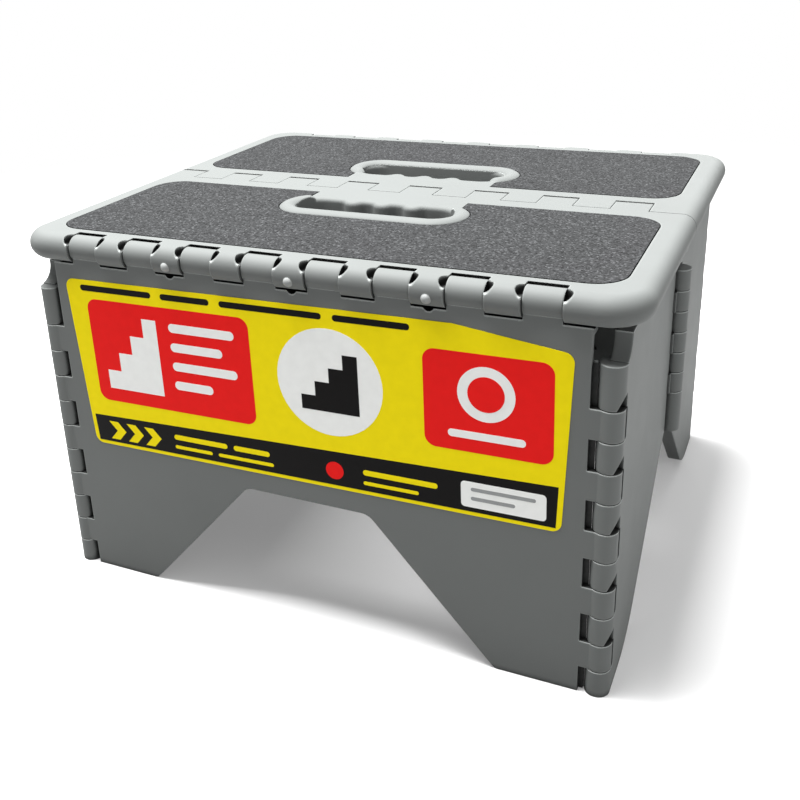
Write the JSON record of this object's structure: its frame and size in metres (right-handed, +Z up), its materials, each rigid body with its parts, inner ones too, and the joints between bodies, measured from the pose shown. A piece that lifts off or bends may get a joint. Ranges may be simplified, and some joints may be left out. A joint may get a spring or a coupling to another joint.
{
  "type": "folding step stool",
  "caption": "Folding step with a two-part hinged tread, grit pads and hand grips, on arched end panels joined by side panels that fold inwards to store it flat.",
  "frame": {"origin": "on the floor under the middle of the tread", "axes": "+X along the long side of the tread, to the right seen from the front; +Y from front to rear; +Z up"},
  "size_m": [0.34, 0.2974, 0.2098],
  "materials": {
    "body_plastic": "fine satin moulded",
    "tread_grit": "coarse grit sheet",
    "label": "printed vinyl sheet",
    "rod_steel": "drawn wire"
  },
  "bodies": {
    "front_panel": {"front_panel": "body_plastic", "front_label": "label", "front_edge_rod": "rod_steel", "left_front_corner_rod": "rod_steel", "right_front_corner_rod": "rod_steel"},
    "front_deck": {"front_deck": "body_plastic", "front_tread_pad": "tread_grit", "centre_rod": "rod_steel"},
    "rear_deck": {"rear_deck": "body_plastic", "rear_tread_pad": "tread_grit"},
    "rear_panel": {"rear_panel": "body_plastic", "rear_edge_rod": "rod_steel", "left_rear_corner_rod": "rod_steel", "right_rear_corner_rod": "rod_steel"},
    "right_front_side": {"right_front_side": "body_plastic", "right_mid_rod": "rod_steel"},
    "right_rear_side": {"right_rear_side": "body_plastic"},
    "left_front_side": {"left_front_side": "body_plastic", "left_mid_rod": "rod_steel"},
    "left_rear_side": {"left_rear_side": "body_plastic"}
  },
  "joints": [
    {"name": "front_edge_hinge", "type": "hinge", "parent": "front_panel", "child": "front_deck", "pos_m": [0, -0.139, 0.2005], "axis": [1, 0, 0], "range_deg": [0, 86]},
    {"name": "centre_hinge", "type": "hinge", "parent": "front_deck", "child": "rear_deck", "pos_m": [0, 0, 0.193], "axis": [1, 0, 0], "range_deg": [-172, 0]},
    {"name": "rear_edge_hinge", "type": "hinge", "parent": "rear_deck", "child": "rear_panel", "pos_m": [0, 0.139, 0.2005], "axis": [1, 0, 0], "range_deg": [0, 86]},
    {"name": "right_front_corner_hinge", "type": "hinge", "parent": "front_panel", "child": "right_front_side", "pos_m": [0.155, -0.139, 0.09], "axis": [0, 0, 1], "range_deg": [0, 86]},
    {"name": "right_mid_hinge", "type": "hinge", "parent": "right_front_side", "child": "right_rear_side", "pos_m": [0.1625, 0, 0.12], "axis": [0, 0, 1], "range_deg": [-172, 0]},
    {"name": "left_front_corner_hinge", "type": "hinge", "parent": "front_panel", "child": "left_front_side", "pos_m": [-0.155, -0.139, 0.09], "axis": [0, 0, 1], "range_deg": [-86, 0]},
    {"name": "left_mid_hinge", "type": "hinge", "parent": "left_front_side", "child": "left_rear_side", "pos_m": [-0.1625, 0, 0.12], "axis": [0, 0, 1], "range_deg": [0, 172]}
  ],
  "couplings": [
    {"joint": "centre_hinge", "follows": "front_edge_hinge", "ratio": -2},
    {"joint": "rear_edge_hinge", "follows": "front_edge_hinge", "ratio": 1},
    {"joint": "right_front_corner_hinge", "follows": "front_edge_hinge", "ratio": 1},
    {"joint": "right_mid_hinge", "follows": "front_edge_hinge", "ratio": -2},
    {"joint": "left_front_corner_hinge", "follows": "front_edge_hinge", "ratio": -1},
    {"joint": "left_mid_hinge", "follows": "front_edge_hinge", "ratio": 2}
  ]
}
